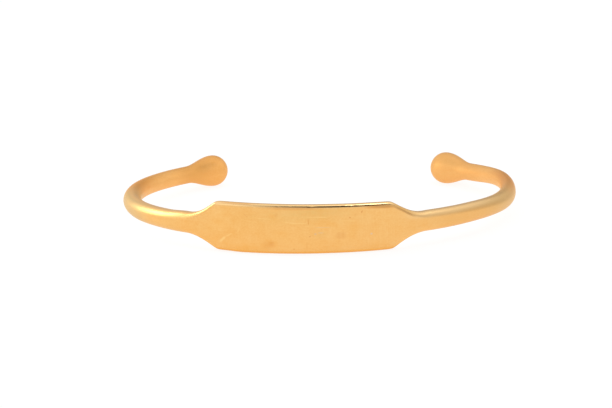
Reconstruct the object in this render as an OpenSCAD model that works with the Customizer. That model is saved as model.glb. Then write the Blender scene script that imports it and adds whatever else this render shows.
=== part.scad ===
// Baby bangle: an open cuff forged from one piece of gold, with a blank name plate in front,
// an arm on each side that turns from flat to round, and a knob on each end.
// It lies on its side on the ground plane, plate towards -Y, opening towards +Y, as it rests by itself.

/* [Oval] */
// Width of the oval that the middle of the metal follows, side to side
oval_width = 46.2; // [42:0.2:54]
// Depth of that oval, from the plate to where it would close at the back
oval_depth = 38.8; // [36:0.2:46]
// Clear gap between the two knobs
knob_gap = 26.5; // [18:0.1:32]

/* [Name plate] */
// Length of the plate along its curve, corner to corner
plate_length = 20.7; // [14:0.1:26]
// Height of the plate
plate_height = 5.75; // [3.6:0.05:8]
// Thickness of the plate
plate_thickness = 1; // [0.8:0.05:1.6]
// Rounding of the plate's rims, as a share of half its thickness
plate_rounding = 0.9; // [0.3:0.05:1]

/* [Shoulders] */
// Length of a shoulder, from the plate's corner to the arm
shoulder_length = 4; // [3:0.1:6]
// How deeply a shoulder is hollowed: 1 is a straight slope
shoulder_hollow = 1.8; // [1:0.1:2.6]
// Softness of the corner between plate and shoulder
corner_softness = 0.2; // [0.1:0.05:0.8]

/* [Arms] */
// Height of an arm beside its shoulder
arm_height = 2.35; // [1.8:0.05:3]
// Thickness of an arm beside its shoulder
arm_thickness = 1.8; // [1.2:0.1:2.4]
// Rounding of an arm's edges beside its shoulder, as a share of half its thickness
arm_rounding = 0.8; // [0.3:0.05:1]
// Length over which the flattened arm turns round
turning_length = 16; // [8:1:20]
// Diameter of the round arm up to its knob
neck_diameter = 2.2; // [1.5:0.05:2.5]

/* [Knobs] */
// Diameter of a knob
knob_diameter = 4; // [2.8:0.1:5]
// Length over which an arm swells into its knob
swell_length = 4; // [2.5:0.1:6]

/* [Smoothness] */
// Facets in each rounded quarter of a section
quarter_facets = 5; // [3:1:6]

/* [Hidden] */

// The oval rail, by the angle travelled from the middle of the plate
half_width = oval_width / 2;
half_depth = oval_depth / 2;
knob_radius = knob_diameter / 2;
end_angle = 180 - asin((knob_gap / 2 + knob_radius) / half_width);

function rail(angle) = [half_width * sin(angle), half_depth * (1 - cos(angle))];

function rail_direction(angle) =
    let (slope = [half_width * cos(angle), half_depth * sin(angle)])
    slope / norm(slope);

// The rail's length up to each of many small steps, and the angle reached there
rail_steps = 300;
rail_step = end_angle / rail_steps;

function chord(step) = norm(rail(step * rail_step) - rail((step - 1) * rail_step));

angle_by_length = [
    for (step = 0, length = 0; step <= rail_steps; step = step + 1, length = length + chord(step))
        [length, step * rail_step]
];
rail_length = angle_by_length[rail_steps][0];

function angle_at(place) = sign(place) * lookup(abs(place), angle_by_length);

// Where each form ends, as a distance along the rail from the middle of the plate
plate_end = plate_length / 2;
shoulder_end = plate_end + shoulder_length;
swell_start = rail_length - swell_length;

function mix(from, to, share) = from + (to - from) * share;

function ease(share) =
    let (part = min(max(share, 0), 1))
    (1 - cos(180 * part)) / 2;

// How far a distance has run past the plate's corner, bent softly instead of starting at once
function past_corner(distance) =
    let (beyond = distance - plate_end)
    (beyond + sqrt(beyond * beyond + corner_softness * corner_softness)) / 2;

// Progress from plate to arm, from flattened to round, and from neck to knob, each from 0 to 1
function shoulder_share(distance) = min(past_corner(distance) / shoulder_length, 1);
function turning_share(distance) = ease((distance - plate_end) / (shoulder_length + turning_length));
function swell_share(distance) = ease((distance - swell_start) / swell_length);

// Height, thickness and edge radius of the section at a distance from the middle of the plate
function section(distance) =
    let (
        shoulder = shoulder_share(distance),
        turned = turning_share(distance),
        swell = swell_share(distance),
        fall = 1 - pow(1 - shoulder, shoulder_hollow),
        flat_height = mix(plate_height, arm_height, fall),
        flat_thickness = mix(plate_thickness, arm_thickness, ease(shoulder)),
        height = mix(mix(flat_height, neck_diameter, turned), knob_diameter, swell),
        thickness = mix(mix(flat_thickness, neck_diameter, turned), knob_diameter, swell),
        flat_rounding = mix(plate_rounding, arm_rounding, ease(shoulder)),
        rounding = mix(flat_rounding, 1, turned)
    )
    [height, thickness, rounding * min(height, thickness) / 2];

// A rounded rectangle as [outward, up] points, facets spread evenly over its four corners
function rounded_outline(height, thickness, radius) = [
    for (corner = [0 : 3], facet = [0 : quarter_facets - 1])
        let (
            middle = 90 * corner + 45,
            turn = 90 * (corner + (facet + 0.5) / quarter_facets)
        )
        [
            sign(cos(middle)) * (thickness / 2 - radius) + radius * cos(turn),
            sign(sin(middle)) * (height / 2 - radius) + radius * sin(turn)
        ]
];

// A ring of points round a place on the rail, pushed ahead along the rail by a straight distance
function ring(angle, ahead, height, thickness, radius) =
    let (
        direction = rail_direction(angle),
        outward = [direction.y, -direction.x],
        centre = rail(angle) + direction * ahead
    )
    [
        for (point = rounded_outline(height, thickness, radius))
            [
                centre.x + outward.x * point[0],
                centre.y + outward.y * point[0],
                point[1]
            ]
    ];

function section_ring(place) =
    let (size = section(abs(place)))
    ring(angle_at(place), 0, size[0], size[1], size[2]);

// A ring on the ball of a knob, at an angle from the ball's middle towards its tip
function knob_ring(side, tilt) =
    let (width = knob_diameter * cos(tilt))
    ring(side * end_angle, side * knob_radius * sin(tilt), width, width, width / 2);

function knob_tip(side) =
    let (tip = rail(side * end_angle) + rail_direction(side * end_angle) * side * knob_radius)
    [tip.x, tip.y, 0];

// Rings stand closer together from this far before a shoulder to this far past it
fine_margin = 0.8;

// Stretches of the right-hand half. Columns: where the stretch ends, and its number of steps
stretches = [
    [plate_end - fine_margin, 9],
    [shoulder_end + fine_margin, 18],
    [swell_start, 26],
    [rail_length, 10]
];
stretch_starts = concat([0], [for (row = stretches) row[0]]);
right_places = [
    for (index = [0 : len(stretches) - 1], step = [1 : stretches[index][1]])
        mix(stretch_starts[index], stretches[index][0], step / stretches[index][1])
];
places = concat(
    [for (index = [len(right_places) - 1 : -1 : 0]) -right_places[index]],
    [0],
    right_places
);

// Angle between the rings on the ball of a knob
ball_step = 15;

rings = concat(
    [for (tilt = [90 - ball_step : -ball_step : ball_step]) knob_ring(-1, tilt)],
    [for (place = places) section_ring(place)],
    [for (tilt = [ball_step : ball_step : 90 - ball_step]) knob_ring(1, tilt)]
);
ring_size = 4 * quarter_facets;
left_tip = len(rings) * ring_size;
right_tip = left_tip + 1;

upright_points = concat([for (r = rings) each r], [knob_tip(-1), knob_tip(1)]);

// Rest: the bangle leans back until the knobs touch the ground behind the plate's lower rim.
// The lean is the slope of the line from the end of that rim that touches a knob from below.
rim_to_knob = [rail(end_angle).y - rail(angle_at(plate_end)).y, plate_height / 2];
lean = atan2(rim_to_knob.y, rim_to_knob.x) - asin(knob_radius / norm(rim_to_knob));

function leaned(point) = [
    point.x,
    point.y * cos(lean) + point.z * sin(lean),
    point.z * cos(lean) - point.y * sin(lean)
];

leaned_points = [for (point = upright_points) leaned(point)];
all_y = [for (point = leaned_points) point.y];
all_z = [for (point = leaned_points) point.z];
base = [0, (min(all_y) + max(all_y)) / 2, min(all_z)];
points = [for (point = leaned_points) point - base];

wall_faces = [
    for (row = [0 : len(rings) - 2], column = [0 : ring_size - 1])
        let (
            next = (column + 1) % ring_size,
            near = row * ring_size,
            far = near + ring_size
        )
        each [
            [near + column, near + next, far + next],
            [near + column, far + next, far + column]
        ]
];
last_ring = (len(rings) - 1) * ring_size;
tip_faces = [
    for (column = [0 : ring_size - 1])
        let (next = (column + 1) % ring_size)
        each [
            [left_tip, next, column],
            [right_tip, last_ring + column, last_ring + next]
        ]
];

// The whole bangle: plate, shoulders, arms and knobs in one swept solid
module bangle() {
    color([0.95, 0.74, 0.43])
        polyhedron(points = points, faces = concat(wall_faces, tip_faces), convexity = 6);
}

bangle();
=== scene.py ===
# %% [markdown]
# A baby bangle in satin gold
#
# This lesson makes one small thing well: an open gold cuff for a baby's wrist, forged from a single
# piece of metal. A blank name plate sits in front, a hollowed shoulder on each side leads into an
# arm, and each arm ends in a knob. The solid model is loaded first and stays where it is. Then a
# finer surface of the same sizes takes its place, with the small unevenness of handwork, and gets a
# worn satin finish. A pale floor, soft lights and a camera close the file.

# %% Load the solid model
import math

import bpy
import numpy as np
from mathutils import Matrix, Vector


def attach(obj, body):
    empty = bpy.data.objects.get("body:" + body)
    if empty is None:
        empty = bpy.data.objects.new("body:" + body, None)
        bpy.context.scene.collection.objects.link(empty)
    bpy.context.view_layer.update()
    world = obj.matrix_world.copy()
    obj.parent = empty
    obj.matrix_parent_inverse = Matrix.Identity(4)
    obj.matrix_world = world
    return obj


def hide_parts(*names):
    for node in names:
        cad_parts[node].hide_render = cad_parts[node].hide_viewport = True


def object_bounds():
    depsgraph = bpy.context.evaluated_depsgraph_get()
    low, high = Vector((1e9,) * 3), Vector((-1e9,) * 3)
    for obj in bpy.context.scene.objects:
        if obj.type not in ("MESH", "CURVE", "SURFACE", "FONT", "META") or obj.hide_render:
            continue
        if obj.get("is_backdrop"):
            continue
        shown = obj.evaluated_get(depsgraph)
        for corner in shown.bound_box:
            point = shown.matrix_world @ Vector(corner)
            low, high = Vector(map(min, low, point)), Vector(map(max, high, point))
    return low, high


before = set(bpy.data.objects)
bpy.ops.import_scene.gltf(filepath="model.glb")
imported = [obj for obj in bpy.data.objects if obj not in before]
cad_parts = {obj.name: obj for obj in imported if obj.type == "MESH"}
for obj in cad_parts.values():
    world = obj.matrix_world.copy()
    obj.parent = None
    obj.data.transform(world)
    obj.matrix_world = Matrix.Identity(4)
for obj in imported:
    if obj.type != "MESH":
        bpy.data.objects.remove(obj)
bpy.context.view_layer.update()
MM = 0.001

# %% [markdown]
# The rail
#
# Seen from above, the middle of the metal follows an oval. A Blender curve with a bevel could carry
# a round wire along it, but here the section changes from a tall thin plate to a round wire, and a
# bevel has one shape only. So the oval is a formula: the half width times the sine of an angle
# across, and the half depth times one minus its cosine towards the back. Distances along the metal
# are what a maker measures, so the angle is looked up from the length that has been travelled.

# %% Sizes of the oval rail
half_width = 46.2 * MM / 2
half_depth = 38.8 * MM / 2
knob_gap = 26.5 * MM
knob_radius = 4.0 * MM / 2
end_angle = math.pi - math.asin((knob_gap / 2 + knob_radius) / half_width)


def rail(angle):
    """Place on the oval: half width times sine across, half depth times (1 - cosine) back."""
    return np.stack([half_width * np.sin(angle), half_depth * (1 - np.cos(angle))], axis=-1)


def rail_direction(angle):
    """Unit direction along the oval: the derivative of its formula, divided by its own length."""
    slope = np.stack([half_width * np.cos(angle), half_depth * np.sin(angle)], axis=-1)
    return slope / np.linalg.norm(slope, axis=-1, keepdims=True)


RAIL_STEPS = 4000
angle_steps = np.linspace(0, end_angle, RAIL_STEPS + 1)
chords = np.linalg.norm(np.diff(rail(angle_steps), axis=0), axis=1)
length_steps = np.concatenate([[0], np.cumsum(chords)])
rail_length = length_steps[-1]
print("rail from plate middle to knob centre, mm:", round(rail_length / MM, 2))


def angle_at(place):
    """Angle on the oval at a signed distance along it from the plate's middle, left negative.

    The summed chords are a table of lengths, and between its rows the angle grows evenly.
    """
    return np.sign(place) * np.interp(np.abs(place), length_steps, angle_steps)


# %% [markdown]
# The section
#
# Every section is a rounded rectangle with a height, a thickness and an edge radius. On the plate it
# is tall and thin with nearly round rims. Over the shoulder it loses height along a hollow curve and
# gains thickness. Along the arm its edge radius grows until it is a circle, and near the end that
# circle swells into the knob. Each change is a share from 0 to 1, and sizes are mixed by the shares,
# so the same few numbers drive the whole length.

# %% Sizes of the section
plate_end = 20.7 * MM / 2
plate_shift = -0.12 * MM
plate_height = 5.75 * MM
plate_thickness = 1.0 * MM
plate_rounding = 0.9
shoulder_length = 4.0 * MM
shoulder_hollow = 1.8
corner_softness = 0.3 * MM        # the solid model keeps 0.2, for facets that can be checked
arm_height = 2.35 * MM
arm_thickness = 1.8 * MM
arm_rounding = 0.8
turning_length = 16.0 * MM
neck_diameter = 2.2 * MM
swell_length = 4.0 * MM


def mix(start, end, share):
    """Straight blend: start plus the share times the difference."""
    return start + (end - start) * share


def ease(share):
    """Half a cosine wave from 0 to 1, level at both ends."""
    return (1 - np.cos(np.pi * np.clip(share, 0, 1))) / 2


def section(place):
    """Height, thickness and edge radius at a place on the rail.

    The shoulder's share is the distance past the corner, softened as (d + root(d squared + s
    squared)) / 2, over its length. Height falls by 1 - (1 - share) to the power of the hollow.
    The flattened arm turns round from the plate's end on, over the shoulder and most of the arm.
    """
    beyond = np.abs(place - plate_shift) - plate_end
    past_corner = (beyond + np.sqrt(beyond**2 + corner_softness**2)) / 2
    shoulder = np.minimum(past_corner / shoulder_length, 1)
    turned = ease(beyond / (shoulder_length + turning_length))
    swell = ease((np.abs(place) - (rail_length - swell_length)) / swell_length)
    fall = 1 - (1 - shoulder) ** shoulder_hollow
    height = mix(mix(plate_height, arm_height, fall), neck_diameter, turned)
    height = mix(height, 2 * knob_radius, swell)
    thickness = mix(mix(plate_thickness, arm_thickness, ease(shoulder)), neck_diameter, turned)
    thickness = mix(thickness, 2 * knob_radius, swell)
    rounding = mix(mix(plate_rounding, arm_rounding, ease(shoulder)), 1, turned)
    return height, thickness, rounding * np.minimum(height, thickness) / 2


plate_sizes = [round(float(size / MM), 2) for size in section(0)]
print("height, thickness and edge radius of the plate, mm:", plate_sizes)

# %% [markdown]
# Rings from tip to tip
#
# The surface has two parameters. One runs along the rail, from the tip of the left knob to the tip
# of the right one. On the balls it goes by angle instead of distance, because equal distances would
# leave wide gaps near the tips. The other runs round the section.

# %% Stations along the rail
RAIL_RINGS = 760
BALL_RINGS = 24
ball_turns = np.linspace(0, np.pi / 2, BALL_RINGS, endpoint=False)[1:]
place = np.concatenate([
    np.full(len(ball_turns), -rail_length),
    np.linspace(-rail_length, rail_length, RAIL_RINGS),
    np.full(len(ball_turns), rail_length),
])
turn = np.concatenate([-ball_turns[::-1], np.zeros(RAIL_RINGS), ball_turns])
ahead = knob_radius * np.sin(turn)

height, thickness, radius = (size * np.cos(turn) for size in section(place))
angle = angle_at(place)
direction = rail_direction(angle)
outward = np.stack([direction[:, 1], -direction[:, 0]], axis=-1)
centre = rail(angle) + direction * ahead[:, None]
print("rings:", len(place))

# %% [markdown]
# Points round a section
#
# A quarter of the outline goes from the middle of the outer face, up along the flat, round the edge
# and in along the top. If the points were spread by length alone, the plate's narrow rims would get
# too few, and the rims are where light breaks. So a share of the points is given out by length and
# the rest by turning. The other three quarters mirror the first one, and no two points coincide,
# also where the section is a full circle and the flats have no length.

# %% Outline of a section
QUARTER_POINTS = 26
TURNING_SHARE = 0.45
TINY = 1e-12                      # added to a length that may be zero and is divided by

ring_size = 4 * QUARTER_POINTS
step = np.arange(ring_size)
quarter = step // QUARTER_POINTS
run = (step % QUARTER_POINTS) / QUARTER_POINTS
run = np.where(quarter % 2 == 0, run, 1 - run)
outward_sign = np.where((quarter == 0) | (quarter == 3), 1, -1)
upward_sign = np.where(quarter < 2, 1, -1)

face_flat = (height / 2 - radius)[:, None]
top_flat = (thickness / 2 - radius)[:, None]
edge = radius[:, None]
quarter_length = face_flat + edge * np.pi / 2 + top_flat
face_share = (1 - TURNING_SHARE) * face_flat / quarter_length
edge_share = (1 - TURNING_SHARE) * edge * np.pi / 2 / quarter_length + TURNING_SHARE
top_share = 1 - face_share - edge_share
on_face = np.clip(run / (face_share + TINY), 0, 1)
on_edge = np.clip((run - face_share) / edge_share, 0, 1)
on_top = np.clip((run - face_share - edge_share) / (top_share + TINY), 0, 1)
edge_turn = on_edge * np.pi / 2

out = outward_sign * (top_flat * (1 - on_top) + edge * np.cos(edge_turn))
up = upward_sign * (face_flat * on_face + edge * np.sin(edge_turn))
print("points round a section:", ring_size)

# %% [markdown]
# Handwork
#
# Nothing forged and filed by hand is quite even. In Blender a Displace modifier with a texture could
# do this, but it pushes everything alike. Here a small function makes soft random heights on a
# lattice, and each kind of unevenness is added where it belongs: slow waves along the arms, a faint
# ripple on the plate's faces, and small nicks along its rims. The deepest nick is about two
# hundredths of a millimetre, and all of this is seen only because metal mirrors it.

# %% Soft random heights
def soft_heights(along, share_round, cell, cells_round, seed):
    """Random heights from -1 to 1 on a lattice, blended by smooth steps.

    The lattice has one cell per `cell` metres along the rail and cells_round cells round the
    section, where it closes on itself. A smooth step is 3 t squared - 2 t cubed.
    """
    columns_along = along / cell
    columns_along = columns_along - np.floor(columns_along.min())
    rows_round = share_round * cells_round
    columns = int(np.ceil(columns_along.max())) + 2
    lattice = np.random.default_rng(seed).uniform(-1, 1, (columns, cells_round))
    column, row = np.floor(columns_along).astype(int), np.floor(rows_round).astype(int)
    parts = (columns_along - column, rows_round - row)
    part_along, part_round = (t * t * (3 - 2 * t) for t in parts)
    below, above = row % cells_round, (row + 1) % cells_round
    near = mix(lattice[column, below], lattice[column, above], part_round)
    far = mix(lattice[column + 1, below], lattice[column + 1, above], part_round)
    return mix(near, far, part_along)


# %% Unevenness of arms, plate and rims
ARM_WAVE_DEPTH = 0.010 * MM
ARM_RIPPLE_DEPTH = 0.002 * MM
PLATE_RIPPLE_DEPTH = 0.003 * MM
NICK_LEVEL = 0.55                 # only what rises above this in the soft heights makes a nick
NICK_DEPTH = 0.05 * MM
NICK_REACH = 0.3 * shoulder_length

straight = np.broadcast_to((place + ahead)[:, None], out.shape)
share_round = np.broadcast_to(step / ring_size, out.shape)
past_plate = np.abs(straight - plate_shift) - plate_end
arm_share = ease(past_plate / shoulder_length)
rim_share = np.sin(2 * edge_turn) * (1 - arm_share)
nick_share = np.sin(2 * edge_turn) * (1 - ease(past_plate / NICK_REACH))

slow_waves = soft_heights(straight, share_round, cell=2.6 * MM, cells_round=6, seed=11)
quick_waves = soft_heights(straight, share_round, cell=0.9 * MM, cells_round=14, seed=12)
ripple = soft_heights(straight, share_round, cell=1.7 * MM, cells_round=26, seed=13)
pricks = soft_heights(straight, share_round, cell=0.35 * MM, cells_round=22, seed=14)
nicks = np.clip(pricks - NICK_LEVEL, 0, 1)
arm_swing = ARM_WAVE_DEPTH * slow_waves + ARM_RIPPLE_DEPTH * quick_waves
plate_swing = PLATE_RIPPLE_DEPTH * ripple
swing = mix(plate_swing, arm_swing, arm_share) - NICK_DEPTH * nicks * nick_share
print("deepest nick, mm:", round(-swing.min() / MM, 3))

# %% [markdown]
# Two sides that differ
#
# The photographed bangle was bent by hand and has been opened and closed since, so its halves are
# not mirror images. The plate's upper rim falls evenly towards the right. The left shoulder is
# filled, the right one is hollowed, and the plate's lower left corner is worn. The left turn is
# pressed in a little and the right one out. The right arm sags in front, is thinner where it
# turns, and behind the turn it rises and is worn all round. A bend by hand has no kinks, so all
# but the rim's fall are smooth humps along the rail, each given by where it begins, where it
# ends and how much it is midway.

# %% Bends and worn places
UPPER_RIM_SLOPE = -0.0135         # mm that the upper rim rises per mm to the right
# Columns: begins and ends, in mm along the rail, left being negative; then the change midway, with
# rises counted upwards, shifts outwards, wear inwards and thinning as a share
LEFT_FILLET = (-18, -11.5, 0.14 * MM)
RIGHT_HOLLOW = (11, 15, -0.07 * MM)
LEFT_CORNER_WEAR = (-12.5, -7, 0.09 * MM)
LEFT_TURN_SHIFT = (-39, -23, -0.14 * MM)
RIGHT_TURN_SHIFT = (27, 42, 0.08 * MM)
RIGHT_TURN_THINNING = (28, 41, 0.14)
RIGHT_SAG = (21, 35, -0.13 * MM)
RIGHT_BACK_RISE = (31, 47, 0.38 * MM)
RIGHT_BACK_WEAR = (31, 47, 0.10 * MM)


def hump(begin, end, midway):
    """Squared sine along the rail: 0 up to where it begins and from where it ends."""
    return midway * np.sin(np.pi * np.clip((straight / MM - begin) / (end - begin), 0, 1)) ** 2


upper_share = np.clip(up / (arm_height / 2), 0, 1)
upper_rim_share = np.clip(up / (plate_height / 2), 0, 1)
lower_rim_share = np.clip(-up / (plate_height / 2), 0, 1)
rim_rise = UPPER_RIM_SLOPE * straight * (1 - arm_share) * upper_rim_share
fillet_rise = (hump(*LEFT_FILLET) + hump(*RIGHT_HOLLOW)) * upper_share
corner_rise = hump(*LEFT_CORNER_WEAR) * lower_rim_share
arm_rise = hump(*RIGHT_SAG) + hump(*RIGHT_BACK_RISE)
rise_made = rim_rise + fillet_rise + corner_rise + arm_rise
turn_shift = hump(*LEFT_TURN_SHIFT) + hump(*RIGHT_TURN_SHIFT)
turn_thinning = 1 - hump(*RIGHT_TURN_THINNING)
swing = swing - hump(*RIGHT_BACK_WEAR)
print("most that a point is raised, mm:", round(rise_made.max() / MM, 2))

# %% [markdown]
# From rail to mesh
#
# The outline's two numbers, outward and upward, are set up at each station, square to the rail. The
# unevenness pushes points along the section's own radius, and one vertex closes each knob's tip.
# Then the bangle leans back by a degree or two until its knobs touch the ground behind the plate's
# lower rim, which is how it lies on a table.

# %% Lay the bangle on its side
reach = np.hypot(out, up) + TINY
out_made = out * (1 + swing / reach) * turn_thinning + turn_shift
up_made = up * (1 + swing / reach) + rise_made
walls_on_rail = centre[:, None] + outward[:, None] * out_made[..., None]
walls = np.concatenate([walls_on_rail, up_made[..., None]], axis=-1)

both_ends = np.array([-end_angle, end_angle])
tip_steps = rail_direction(both_ends) * np.array([[-knob_radius], [knob_radius]])
tips = np.pad(rail(both_ends) + tip_steps, ((0, 0), (0, 1)))

rim_to_knob = (rail(end_angle) - rail(angle_at(plate_end - plate_shift)))[1]
rim_slope = math.atan2(plate_height / 2, rim_to_knob)
lean = rim_slope - math.asin(knob_radius / math.hypot(rim_to_knob, plate_height / 2))
leaning = np.array(Matrix.Rotation(-lean, 3, "X"))
points = np.concatenate([walls.reshape(-1, 3), tips]) @ leaning.T
base = np.array([0, (points[:, 1].min() + points[:, 1].max()) / 2, points[:, 2].min()])
points -= base
print("lean, degrees:", round(math.degrees(lean), 2))

# %% Faces
rings_before = np.arange(len(place) - 1)[:, None] * ring_size
after = (step + 1) % ring_size
quads = np.stack([
    rings_before + step,
    rings_before + ring_size + step,
    rings_before + ring_size + after,
    rings_before + after,
], axis=-1).reshape(-1, 4)
left_tip = len(place) * ring_size
last_ring = left_tip - ring_size
left_fan = np.stack([np.full(ring_size, left_tip), step, after], axis=-1)
right_tip = left_tip + 1
right_fan = np.stack([np.full(ring_size, right_tip), last_ring + after, last_ring + step], axis=-1)
faces = quads.tolist() + left_fan.tolist() + right_fan.tolist()
print("triangles:", 2 * len(quads) + 2 * ring_size)

# %% [markdown]
# Marks that bend with the metal
#
# The metal was filed and brushed along its length, so its marks have to bend with it. For that the
# mesh keeps each vertex's straightened place, along the rail, outward and upward, as an attribute
# that the material can read. A second one says how much a rim stands out: it makes the rims
# polished, and it paints a sheen on the plate's upper rim and shade on its lower rim.

# %% The bangle's mesh
tip_reach = rail_length + knob_radius
straightened = np.stack([straight, out, up], axis=-1).reshape(-1, 3)
straightened = np.concatenate([straightened, [[-tip_reach, 0, 0], [tip_reach, 0, 0]]])
# how much a rim stands out: it makes the rims polished, and paints a sheen on the plate's upper rim
# and shade on its lower rim
rim_polish_and_sheen_share = np.concatenate([rim_share.ravel(), [0, 0]])

mesh = bpy.data.meshes.new("bangle_surface")
mesh.from_pydata(points.tolist(), [], faces)
place_attribute = mesh.attributes.new("straightened", "FLOAT_VECTOR", "POINT")
place_attribute.data.foreach_set("vector", straightened.astype(np.float32).ravel())
rim_attribute = mesh.attributes.new("rim_polish_and_sheen_share", "FLOAT", "POINT")
rim_attribute.data.foreach_set("value", rim_polish_and_sheen_share.astype(np.float32))
mesh.polygons.foreach_set("use_smooth", np.ones(len(faces), bool))
mesh.update()

bangle = bpy.data.objects.new("gold_bangle", mesh)
bpy.context.scene.collection.objects.link(bangle)
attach(bangle, "root")
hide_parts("bangle")
print("vertices:", len(mesh.vertices))

# %% [markdown]
# Shader maths as sums
#
# A material is a graph, and long graphs of Math nodes are hard to read. The class below wraps a
# node's output socket so that it can be added and multiplied like a number, and each operation adds
# its node. Everything else goes through one method, which sets a node's settings before its sockets.

# %% A socket that can be calculated with
class Wire:
    """One output socket of a node tree. Sums of wires and numbers are Math nodes."""

    def __init__(self, tree, socket):
        self.tree = tree
        self.socket = socket

    def node(self, kind, settings, sockets, output=0):
        """Adds a node, sets its settings, then its sockets to values or wires; gives one output."""
        made = self.tree.nodes.new(kind)
        for name, value in settings.items():
            setattr(made, name, value)
        for name, value in sockets.items():
            if isinstance(value, Wire):
                self.tree.links.new(value.socket, made.inputs[name])
            else:
                made.inputs[name].default_value = value
        return Wire(self.tree, made.outputs[output])

    def math(self, operation, first, second=0.0):
        """Adds a Math node for two wires or numbers."""
        return self.node("ShaderNodeMath", {"operation": operation}, {0: first, 1: second})

    def __add__(self, other):
        return self.math("ADD", self, other)

    def __sub__(self, other):
        return self.math("SUBTRACT", self, other)

    def __rsub__(self, other):
        return self.math("SUBTRACT", other, self)

    def __mul__(self, other):
        return self.math("MULTIPLY", self, other)

    def __abs__(self):
        return self.math("ABSOLUTE", self)

    __radd__ = __add__
    __rmul__ = __mul__

    def rise(self, low, high):
        """Share from 0 at low to 1 at high, by a smooth step; it falls where low is above high."""
        sockets = {"Value": self, "From Min": low, "From Max": high}
        return self.node("ShaderNodeMapRange", {"interpolation_type": "SMOOTHSTEP"}, sockets)

    def window(self, begin, full, full_end, end):
        """Share from 0 at begin to 1 at full, and from 1 at full_end back to 0 at end."""
        return self.rise(begin, full) * self.rise(end, full_end)

    def noise(self, size, detail=2.0, seed=0.0):
        """Noise from 0 to 1 at this position, with cells of a size in mm on each axis."""
        shrink = tuple(1 / (part * MM) for part in size)
        factors = {0: self, 1: shrink}
        position = self.node("ShaderNodeVectorMath", {"operation": "MULTIPLY"}, factors)
        sockets = {"Vector": position, "W": seed, "Scale": 1.0, "Detail": detail}
        return self.node("ShaderNodeTexNoise", {"noise_dimensions": "4D"}, sockets)

    def parts(self):
        """The three numbers of this position."""
        split = self.node("ShaderNodeSeparateXYZ", {}, {0: self}).socket.node
        return [Wire(self.tree, socket) for socket in split.outputs]

    def over(self, under, top):
        """Colour on top laid over the colour under it, by this share.

        The Mix node has sockets for every data type, and its two colours are numbers 6 and 7.
        """
        sockets = {"Factor": self, 6: under, 7: top}
        return self.node("ShaderNodeMix", {"data_type": "RGBA"}, sockets, output=2)

    def feed(self, shader, name):
        """Links this wire to one of a shader's sockets."""
        self.tree.links.new(self.socket, shader.inputs[name])


def new_material(name):
    """A node material; gives the material, its Principled shader and a wire to start sums from."""
    material = bpy.data.materials.new(name)
    material.use_nodes = True
    shader = material.node_tree.nodes["Principled BSDF"]
    return material, shader, Wire(material.node_tree, shader.outputs[0])


# %% [markdown]
# Satin gold
#
# The metal is yellow gold, rubbed to a satin with a fine abrasive and then worn on a wrist. A plain
# metallic shader would look like plastic foil: real satin has a fine grain, cloudy patches where the
# tone drifts from orange to straw, faint lines along the metal's length, and stray hairlines at all
# angles. Each of these is noise on the straightened place, stretched as long as the mark it makes.

# %% Gold: grain, clouds and lines
gold, gold_shader, start = new_material("satin_gold")
metal = start.node("ShaderNodeAttribute", {"attribute_name": "straightened"}, {}, output="Vector")
rim_polish_and_sheen = start.node("ShaderNodeAttribute", {"attribute_name": "rim_polish_and_sheen_share"}, {}, output="Fac")
lengthwise, outwards, upwards = metal.parts()

# Sizes in mm: along the metal, out through it and up
grain = metal.noise((0.24, 0.16, 0.16), detail=2, seed=1)
clouds = metal.noise((1.1, 0.8, 0.8), detail=2, seed=2)
drift = metal.noise((5, 3, 3), detail=1, seed=3)
lines = metal.noise((4, 0.10, 0.10), detail=2, seed=4)
cross_lines = metal.noise((0.10, 0.3, 2.5), detail=2, seed=10)

SCRATCH_SIZE = (1.3, 0.07, 0.5)   # in mm: along the scratch, across it and out through the metal
SCRATCH_CUT = (0.68, 0.80)        # noise at which a scratch begins and at which it is full


def turned_axes(beside, above, degrees):
    """Distances along a direction that leans by an angle, and across it.

    Along is cosine times beside plus sine times above. Across is cosine times above minus sine
    times beside.
    """
    cosine, sine = math.cos(math.radians(degrees)), math.sin(math.radians(degrees))
    return cosine * beside + sine * above, cosine * above - sine * beside


def hairlines(lean_degrees, seed):
    """Share of short scratches that lean: noise stretched along them and cut near its top."""
    along, across = turned_axes(lengthwise, upwards, lean_degrees)
    leaning_place = start.node("ShaderNodeCombineXYZ", {}, {0: along, 1: across, 2: outwards})
    return leaning_place.noise(SCRATCH_SIZE, detail=1, seed=seed).rise(*SCRATCH_CUT)


scratches = hairlines(4, seed=5) + hairlines(-9, seed=6)
scratches = scratches + hairlines(48, seed=7) + hairlines(97, seed=8)
print("nodes for grain, clouds and lines:", len(gold.node_tree.nodes))

# %% [markdown]
# Marks of wear, and a painted dark line
#
# Some marks on the plate are large enough to be seen one by one: a slanting rub near the left end, a
# thin upright line in the middle, a few pale lines where something slid along it, small pits and
# cool grey specks. Others are soft and wide: warm stains, and a straw-coloured haze under the upper
# rim. A painted dark reflection runs under the upper rim and along its top edge at the left, brown
# on the plate and bronze where it runs down the right shoulder. They could be painted on a texture,
# but a row of sizes for each is sharper at any distance. One function turns a row into a mask: the
# distances along and across the mark from its middle, each compared with its half length and width.

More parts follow.
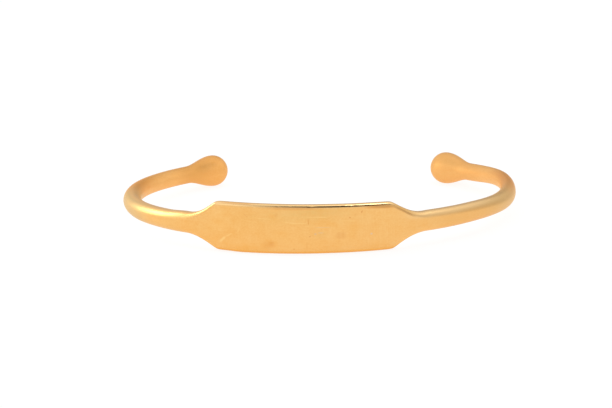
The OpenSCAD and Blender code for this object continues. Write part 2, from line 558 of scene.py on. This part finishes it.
# %% Gold: marks on the plate
# Columns, in mm and degrees: place along, height up, length, width, lean; then how strong
PALE_MARKS = [
    (-9.54, -1.42, 1.40, 0.40, 43, 0.60),        # slanting rub near the left end
    (-8.68, -0.82, 1.10, 0.22, 30, 0.45),
    (-7.50, -0.20, 0.70, 0.20, 60, 0.35),
    (-4.60, 1.25, 2.80, 0.11, -4, 0.40),
    (-6.50, 0.95, 2.20, 0.10, -7, 0.30),
    (-1.50, 0.82, 2.20, 0.12, -5, 0.55),
    (-0.25, 0.76, 1.70, 0.12, 2, 0.50),
    (1.30, 1.46, 3.60, 0.10, -1, 0.35),
    (2.07, 1.46, 1.60, 0.11, -2, 0.40),
    (5.00, 0.95, 2.60, 0.10, -9, 0.25),
]
COOL_MARKS = [
    (7.65, -0.76, 0.34, 0.30, 0, 1.00),
    (2.20, 0.24, 2.30, 0.10, 0, 0.45),
    (1.97, -0.38, 0.80, 0.14, 0, 0.70),
    (1.36, -0.50, 0.36, 0.28, 0, 0.70),
]
DARK_MARKS = [
    (0.60, 0.93, 1.00, 0.14, 90, 0.60),          # upright line in the middle
    (6.62, 1.94, 0.42, 0.18, 65, 0.80),
    (5.26, 1.30, 0.24, 0.22, 0, 0.80),
    (1.36, -0.50, 0.30, 0.24, 0, 0.55),
    (0.72, -0.78, 0.32, 0.16, 20, 0.60),
    (-1.09, -2.25, 0.24, 0.20, 0, 0.45),
    (-6.60, 1.55, 0.80, 0.12, -38, 0.35),
    (0.37, -1.90, 1.30, 0.10, 90, 0.25),
    (5.90, 1.65, 0.60, 0.10, 20, 0.25),
    (-3.62, -1.64, 0.75, 0.60, 0, 0.20),
    (-4.00, -1.78, 1.90, 1.20, 10, 0.17),        # wide stain low on the left
    (4.20, -0.75, 1.50, 1.10, 0, 0.22),
    (-3.00, 1.70, 0.60, 0.40, 30, 0.15),
    (8.60, 2.42, 4.60, 0.60, -4, 0.60),          # painted reflection: dark line under the rim, at the right
    (-1.10, 2.46, 8.50, 0.45, 0, 0.36),          # painted reflection: dark line under the rim, in the middle
    (-7.60, 2.79, 5.50, 0.18, 0, 0.45),          # painted reflection: dark top edge of the rim, at the left
]
# painted reflection: the dark line under the upper rim, at the right end and down the right shoulder
RIM_LINE_SHADE = [
    (9.10, 2.40, 3.20, 0.36, -4, 0.78),
    (11.40, 1.65, 3.90, 0.36, -31, 0.80),
]
WARM_STAINS = [
    (-4.00, -1.60, 3.00, 1.70, 5, 0.45),
    (-2.40, -0.55, 2.60, 1.30, -12, 0.35),
    (-3.30, 1.60, 2.40, 1.90, 80, 0.35),
    (2.60, 0.65, 4.80, 1.10, -3, 0.30),
    (5.70, -0.05, 2.80, 1.80, 60, 0.30),
    (-6.90, -2.30, 7.00, 1.70, 0, 0.50),
    (8.30, -2.20, 3.60, 1.40, 10, 0.28),
    (-9.60, 0.60, 2.40, 2.60, 0, 0.25),
]
HAZE_AND_SHADE = [
    (1.60, 2.10, 12.00, 2.10, 0, 0.30),
    (-1.00, 1.60, 18.00, 3.00, 0, 0.28),
    (1.90, -0.60, 2.60, 1.50, 0, 0.25),
    # painted reflection: the dark line under the rim, at the right
    (8.60, 2.40, 4.80, 0.70, -4, 0.90),
]
all_marks = [PALE_MARKS, COOL_MARKS, DARK_MARKS, RIM_LINE_SHADE, WARM_STAINS, HAZE_AND_SHADE]
print("marks on the plate:", sum(len(rows) for rows in all_marks))

# %% Gold: from rows to masks
STROKE_CORE = 0.3
STAIN_CORE = 0.0
outer_face = outwards.rise(0.1 * MM, 0.3 * MM)


def marks_mask(rows, core):
    """Sum of marks on the outer face, each at its strength in the middle and 0 from its edge on.

    Core is the share of the half length and half width over which the strength doesn't fall yet.
    """
    total = 0.0
    for along, height_up, length, width, lean_degrees, strength in rows:
        half_long, half_wide = length * MM / 2, width * MM / 2
        beside, above = lengthwise - along * MM, upwards - height_up * MM
        along_mark, across_mark = turned_axes(beside, above, lean_degrees)
        along_share = abs(along_mark).rise(half_long, core * half_long)
        across_share = abs(across_mark).rise(half_wide, core * half_wide)
        total = total + strength * along_share * across_share
    return total * outer_face


pale_marks = marks_mask(PALE_MARKS, STROKE_CORE)
cool_marks = marks_mask(COOL_MARKS, STROKE_CORE)
dark_marks = marks_mask(DARK_MARKS, STROKE_CORE)
rim_line_shade = marks_mask(RIM_LINE_SHADE, STROKE_CORE)
# Blotches strengthen the stains and thin the haze, so that neither is even
blotches = metal.noise((0.7, 0.5, 0.45), detail=3, seed=9).rise(0.30, 0.62)
warm_stains = marks_mask(WARM_STAINS, STAIN_CORE) * (0.4 + blotches)
haze_and_shade = marks_mask(HAZE_AND_SHADE, STAIN_CORE) * (1.2 - 0.5 * blotches)
print("nodes with the marks:", len(gold.node_tree.nodes))

# %% [markdown]
# Tones along the bangle
#
# A metal's colour is what it does to light that it mirrors, so the base colour is high and warm. The
# grain, clouds and lines move it a little between a deep and a straw gold. Then each part has a tone
# of its own: turns dull outside and straw inside, a slightly tarnished right arm and knob. Other
# tones are painted light and shade: a pale painted sheen on the arm tops and on the plate's upper
# rim, painted shade on the tops of the turns, on the left neck, under the right arm and on the
# plate's lower rim and towards it, and a deeper orange towards the knobs, a painted reflection of
# the gold in itself. So the colour is built like glazes: a list of layers, each a share that rises
# and falls at some places, with a strength and a colour, laid one over the other. The pale, dark,
# bronze and cool marks on the plate come last.

# %% Gold: shares of the parts
side = lengthwise * (1 / MM)       # place along the rail in mm, left being negative
from_middle = abs(side)
level = upwards * (1 / MM)         # height above the rail in mm
plate_mm = plate_end / MM
shoulder_mm = plate_mm + shoulder_length / MM
knob_mm = rail_length / MM

on_plate = from_middle.rise(plate_mm + 0.8, plate_mm - 0.4)
right_end = side.rise(4, 9) * on_plate
left_half = side.rise(plate_mm, -plate_mm)
right_half = side.rise(-plate_mm, plate_mm)
on_arm = from_middle.rise(plate_mm, shoulder_mm)
towards_knob = from_middle.rise(shoulder_mm, knob_mm)
before_turn = from_middle.rise(29, 22)
arm_top = level.rise(0.3, 0.9)
# painted sheen: the arm tops in front are paler, as where they mirror the bright room above
arm_top_sheen = on_arm * before_turn * arm_top
turn_front = from_middle.window(20, 27, 28, 36)
# painted shade: the tops of the turns are darker, as where they mirror the dark room behind
turn_top_shade = from_middle.window(28, 36, 36, 42) * arm_top
left_turn = side.window(-35, -31, -24, -19)
inner_top = arm_top * outwards.rise(0.5 * MM, 0.0)
left_front = side.rise(-13, -17) * before_turn
# painted shade: the left neck is darker
left_neck_shade = side.window(-50.5, -47.5, -46.5, -43.5)
right_front = side.rise(13, 19) * before_turn * (1 - arm_top)
# painted shade: the right arm's underside is darker, as a face turned away from the light
right_underside_shade = right_front * level.rise(0.2, -1.0)
right_knob = side.rise(41, 46)
towards_right = side.rise(0, 12)
# painted shade: warmer and darker towards the lower rim, as where the plate mirrors the shaded floor
# close to it
towards_lower_rim = level.rise(1.5, -plate_height / MM / 2)
upper_half = level.rise(-0.5, 0.5)
# the plate's rims: polished, with a painted sheen above and painted shade below
plate_rim_sheen_and_shade = rim_polish_and_sheen * on_plate
part_ends = [round(float(end), 2) for end in (plate_mm, shoulder_mm, knob_mm)]
print("plate's end, shoulder's end and knob's middle, mm along the rail:", part_ends)

# %% Gold: layers of colour
DEEP_GOLD = (0.89, 0.465, 0.130, 1)
STRAW_GOLD = (0.94, 0.56, 0.200, 1)
WARM_GOLD = (0.94, 0.44, 0.120, 1)
DULL_GOLD = (0.70, 0.48, 0.19, 1)
# painted shade, on the tops of the turns and on the plate's lower rim
GOLD_IN_SHADE = (0.86, 0.40, 0.085, 1)
PALE_GOLD = (0.96, 0.67, 0.335, 1)
# tarnish on the right arm and knob, and painted shade on the left neck and under the right arm
TARNISH_AND_SHADE = (0.80, 0.41, 0.115, 1)
STAIN = (0.90, 0.44, 0.100, 1)
HAZE_AND_SHADE_COLOUR = (0.78, 0.49, 0.165, 1)
PALE_MARK = (1.0, 0.66, 0.26, 1)
DARK_MARK = (0.73, 0.29, 0.07, 1)
# painted reflection, for the dark line down the right shoulder
BRONZE = (0.60, 0.32, 0.11, 1)
COOL_MARK = (0.80, 0.54, 0.33, 1)

# Columns: how strongly a pattern moves the tone from deep to straw, the pattern
TONE_PATTERNS = [
    (1.5, grain),
    (1.2, clouds),
    (1.0, drift),
    (0.7, lines),
    (0.24 + 0.8 * right_end, cross_lines),
]
straw_share = 0.5
for strength, pattern in TONE_PATTERNS:
    straw_share = straw_share + strength * (pattern - 0.5)
tone = straw_share.over(DEEP_GOLD, STRAW_GOLD)

# Columns: strength, share of the surface, colour; the first row lies lowest
LAYERS = [
    # painted reflection: deeper orange towards the knobs, as where the gold mirrors itself
    (0.20, towards_knob, WARM_GOLD),
    # painted sheen on the arm tops
    (0.20, arm_top_sheen * left_half, PALE_GOLD),
    (0.70, arm_top_sheen * right_half, PALE_GOLD),
    (0.60, turn_front, DULL_GOLD),
    (0.20, left_front, DULL_GOLD),
    (0.60, left_turn, DULL_GOLD),
    (0.40, turn_front * inner_top, STRAW_GOLD),
    (0.90, left_turn * inner_top, STRAW_GOLD),
    # painted shade on the tops of the turns
    (0.90, turn_top_shade, GOLD_IN_SHADE),
    (0.40, turn_top_shade * right_half, DARK_MARK),
    # painted shade on the left neck
    (0.60, left_neck_shade, TARNISH_AND_SHADE),
    (0.30, right_front, TARNISH_AND_SHADE),
    # painted shade under the right arm
    (0.43, right_underside_shade, TARNISH_AND_SHADE),
    (0.20, right_knob, TARNISH_AND_SHADE),
    (0.12, towards_right, PALE_GOLD),
    (0.25, scratches, PALE_MARK),
    # painted shade towards the lower rim
    (0.22, towards_lower_rim, WARM_GOLD),
    (1.00, warm_stains, STAIN),
    (1.00, haze_and_shade, HAZE_AND_SHADE_COLOUR),
    # painted sheen on the plate's upper rim, and painted shade on its lower rim
    (0.80, plate_rim_sheen_and_shade * upper_half, PALE_GOLD),
    (0.90, plate_rim_sheen_and_shade * (1 - upper_half), GOLD_IN_SHADE),
    (1.00, pale_marks, PALE_MARK),
    # dark marks, and the painted dark reflection under the upper rim
    (1.00, dark_marks, DARK_MARK),
    # painted reflection: the dark line under the rim and down the right shoulder
    (1.00, rim_line_shade, BRONZE),
    (1.00, cool_marks, COOL_MARK),
]
for strength, share, colour in LAYERS:
    tone = (strength * share).over(tone, colour)
tone.feed(gold_shader, "Base Color")
print("layers of colour:", len(LAYERS))

# %% [markdown]
# Roughness and relief
#
# Roughness tells satin from polish: the plate's rims are rubbed bright by wear and are smoother than
# its faces, and the knobs are the dullest part. The same patterns give a relief of thousandths of a
# millimetre, through one Bump node.

# %% Gold: roughness and relief
SATIN_ROUGHNESS = 0.33
ARM_ROUGHNESS = 0.39
KNOB_ROUGHNESS = 0.56
RIM_ROUGHNESS = 0.13
RELIEF_DEPTH = 0.004 * MM

satin = SATIN_ROUGHNESS + (ARM_ROUGHNESS - SATIN_ROUGHNESS) * on_arm
satin = satin + (KNOB_ROUGHNESS - ARM_ROUGHNESS) * towards_knob
# Clouds and lines move the roughness both ways, and scratches only raise it
satin = satin + 0.15 * (clouds - 0.5) + 0.12 * (lines - 0.5) + 0.1 * scratches
roughness = satin + rim_polish_and_sheen * (RIM_ROUGHNESS - satin)
roughness.feed(gold_shader, "Roughness")
gold_shader.inputs["Metallic"].default_value = 1.0

# Each pattern has its share of the depth, and scratches and dark marks go down into the metal
relief = 0.4 * grain + 0.5 * lines + 0.8 * clouds - 0.4 * scratches - dark_marks
bump_sockets = {"Strength": 1.0, "Distance": RELIEF_DEPTH, "Height": relief}
relief.node("ShaderNodeBump", {}, bump_sockets).feed(gold_shader, "Normal")
mesh.materials.append(gold)
print("nodes in the whole gold:", len(gold.node_tree.nodes))

# %% [markdown]
# Floor
#
# The floor is a sheet of white acrylic lit from below, as on a table for photographing jewellery.
# Most of its light is its own, which keeps the shadows faint. The plate mirrors it, because the
# camera looks down: most of the plate's even glow is the floor in front of it.

# %% Pale floor
FLOOR_HALF = 2.0
FLOOR_COLOUR = (0.2, 0.2, 0.2, 1)
FLOOR_ROUGHNESS = 0.8
FLOOR_GLOW = 0.86

corners = [
    (-FLOOR_HALF, -FLOOR_HALF, 0),
    (FLOOR_HALF, -FLOOR_HALF, 0),
    (FLOOR_HALF, FLOOR_HALF, 0),
    (-FLOOR_HALF, FLOOR_HALF, 0),
]
floor_mesh = bpy.data.meshes.new("floor")
floor_mesh.from_pydata(corners, [], [(0, 1, 2, 3)])
floor = bpy.data.objects.new("floor", floor_mesh)
bpy.context.scene.collection.objects.link(floor)
floor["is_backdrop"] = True

acrylic, acrylic_shader, _ = new_material("white_acrylic")
acrylic_shader.inputs["Base Color"].default_value = FLOOR_COLOUR
acrylic_shader.inputs["Roughness"].default_value = FLOOR_ROUGHNESS
acrylic_shader.inputs["Specular IOR Level"].default_value = 0.0
acrylic_shader.inputs["Emission Color"].default_value = (1, 1, 1, 1)
acrylic_shader.inputs["Emission Strength"].default_value = FLOOR_GLOW
floor_mesh.materials.append(acrylic)
print("width of the floor, m:", 2 * FLOOR_HALF)

# %% [markdown]
# Room
#
# Gold shows what is round it, tinted. A plain white room would leave it flat, so the room has soft
# patches that are darker or brighter. Dark ones in front, above the camera, draw the thin line under
# the plate's upper rim. Dark ones behind shade the tops of the turns and the rim's own edge, and one
# low on the right draws the brown line along the right arm. Bright ones overhead make the rims and
# the right arm's top pale. The world shader reads only the direction of the light, so every view
# sees the same room.

# %% Soft room
ROOM_LIGHT = 0.92
# Columns, in degrees: azimuth from the front, right being positive; elevation; radius where the
# patch is full; radius where it ends. Then the light that it adds or takes
ROOM_PATCHES = [
    (4, 54, 12, 27, -0.52),       # line under the upper rim, in the middle
    (26, 42, 12, 25, -0.58),      # the line's right half
    (50, 36, 6, 20, -0.24),       # its right end
    (-12, 52, 16, 44, -0.22),     # its left half
    (180, 8, 12, 38, -0.26),      # tops of the turns, widely
    (176, 13, 5, 15, -0.36),      # tops of the turns, in their middle
    (178, 46, 6, 20, -0.18),      # uppermost edge of the rim
    (105, 12, 15, 50, -0.26),     # brown line along the right arm
    (-98, 62, 8, 30, 0.10),       # left half of the rim
    (-50, 33, 6, 18, 0.35),       # left end of the rim
    (90, 50, 8, 32, 0.10),        # top of the right arm
    (120, 76, 5, 26, 0.30),       # right half of the rim
]


def heading(azimuth, elevation):
    """Unit direction of an azimuth and an elevation in degrees.

    It goes by the sine of azimuth to the right and by minus its cosine to the back, both times the
    cosine of elevation, and by the sine of elevation up.
    """
    turn_angle, rise_angle = math.radians(azimuth), math.radians(elevation)
    flat = math.cos(rise_angle)
    return Vector((flat * math.sin(turn_angle), -flat * math.cos(turn_angle), math.sin(rise_angle)))


world = bpy.data.worlds.new("soft_room")
world.use_nodes = True
bpy.context.scene.world = world
background = world.node_tree.nodes["Background"]
background.inputs["Color"].default_value = (1, 1, 1, 1)
room_start = Wire(world.node_tree, background.outputs[0])
view = room_start.node("ShaderNodeTexCoord", {}, {}, output="Generated")

brightness = ROOM_LIGHT
for azimuth, elevation, full, end, change in ROOM_PATCHES:
    directions = {0: view, 1: heading(azimuth, elevation)}
    operation = {"operation": "DOT_PRODUCT"}
    closeness = view.node("ShaderNodeVectorMath", operation, directions, output="Value")
    share = closeness.rise(math.cos(math.radians(end)), math.cos(math.radians(full)))
    brightness = brightness + change * share
brightness.math("MAXIMUM", brightness, 0.0).feed(background, "Strength")
print("patches in the room:", len(ROOM_PATCHES))

# %% [markdown]
# Lamps
#
# A room that is far away lights both arms alike, and the photographed bangle has one bright glow, on
# its left arm. So five small lamps stand close by, each behind a honeycomb, which in Blender is the
# light's spread: it keeps a lamp from lighting what is beside its target. A wide dim lamp and a tall
# narrow one make the glow on the left arm. One fills the knobs and one the left arm's back, which
# would mirror the room's dark patches, and one high up draws the streak on the plate's upper rim.

# %% Soft lamps
def honeycomb_lamp(name, target, azimuth, elevation, distance, width, height, tilt, spread,
                   radiance):
    """An oval lamp that looks at a target through a honeycomb, which hides it from aside.

    Angles are in degrees. With a the half spread, the radiance falls by 1 - tan(angle off the
    axis) / tan(a), so the power is radiance times area times pi times 1 - a / tan(a).
    """
    half_spread = math.radians(spread) / 2
    lamp = bpy.data.lights.new(name, "AREA")
    lamp.shape = "ELLIPSE"
    lamp.size = width
    lamp.size_y = height
    lamp.spread = 2 * half_spread
    area = math.pi * width * height / 4
    lamp.energy = radiance * area * math.pi * (1 - half_spread / math.tan(half_spread))
    step_back = distance * heading(azimuth, elevation)
    facing = (-step_back).to_track_quat("-Z", "Y").to_matrix()
    facing = facing @ Matrix.Rotation(math.radians(tilt), 3, "Z")
    made = bpy.data.objects.new(name, lamp)
    made.matrix_world = Matrix.Translation(Vector(target) + step_back) @ facing.to_4x4()
    made.visible_camera = False
    bpy.context.scene.collection.objects.link(made)
    print(name, "gives milliwatts:", round(1000 * lamp.energy, 3))


left_arm = (-18 * MM, -11 * MM, 3.5 * MM)
knobs = (0, 16 * MM, 3 * MM)
left_back = (-20 * MM, 8 * MM, 3 * MM)
plate_rim = (9 * MM, -17 * MM, 6 * MM)
honeycomb_lamp("side_lamp", left_arm, azimuth=-98, elevation=28, distance=45 * MM, width=42 * MM,
               height=44 * MM, tilt=-28, spread=64, radiance=0.45)
honeycomb_lamp("glow_lamp", left_arm, azimuth=-105, elevation=25.5, distance=45 * MM, width=16 * MM,
               height=42 * MM, tilt=22, spread=90, radiance=5.8)
honeycomb_lamp("knob_lamp", knobs, azimuth=20, elevation=38, distance=39 * MM, width=60 * MM,
               height=20 * MM, tilt=0, spread=100, radiance=1.4)
honeycomb_lamp("back_lamp", left_back, azimuth=112, elevation=22, distance=40 * MM, width=30 * MM,
               height=16 * MM, tilt=0, spread=100, radiance=0.8)
honeycomb_lamp("top_lamp", plate_rim, azimuth=80, elevation=74, distance=100 * MM, width=26 * MM,
               height=26 * MM, tilt=0, spread=32, radiance=5.0)

# %% [markdown]
# Camera
#
# The camera stands in front, a little above the bangle's own plane, turned a few degrees to one
# side. Its place is worked out in the bangle's upright frame, where the numbers are plain: how far
# away, how high above the plane, how far round and how far rolled. Then it leans with the bangle.

# %% Camera at the photograph's angle
LENS = 119.0
DISTANCE = 230 * MM
RISE = math.radians(12.41)
ROUND = math.radians(-5.83)
ROLL = math.radians(1.86)
AIM_RIGHT = 0.28 * MM
AIM_UP = 2.84 * MM
NEAREST = 0.01                    # in metres; what is nearer isn't drawn
FARTHEST = 10                     # in metres; what is farther isn't drawn

level_right = np.array([math.cos(ROUND), -math.sin(ROUND), 0])
forward = np.array([
    math.sin(ROUND) * math.cos(RISE),
    math.cos(ROUND) * math.cos(RISE),
    -math.sin(RISE),
])
level_up = np.cross(level_right, forward)
right = math.cos(ROLL) * level_right - math.sin(ROLL) * level_up
upward = math.sin(ROLL) * level_right + math.cos(ROLL) * level_up
eye = AIM_RIGHT * right + AIM_UP * upward - DISTANCE * forward

stand = np.eye(4)
stand[:3, :3] = leaning @ np.stack([right, upward, -forward], axis=-1)
stand[:3, 3] = leaning @ eye - base
camera_data = bpy.data.cameras.new("camera")
camera_data.lens = LENS
camera_data.clip_start = NEAREST
camera_data.clip_end = FARTHEST
camera = bpy.data.objects.new("camera", camera_data)
camera.matrix_world = Matrix(stand.tolist())
bpy.context.scene.collection.objects.link(camera)
bpy.context.scene.camera = camera
bpy.context.scene.view_settings.view_transform = "Standard"
print("camera height above the floor, mm:", round(stand[2, 3] / MM, 1))

# %% Sizes, and the end
low_corner, high_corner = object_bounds()
visual_size = [round((high - low) / MM, 2) for low, high in zip(low_corner, high_corner)]
print("visual model, mm:", visual_size)
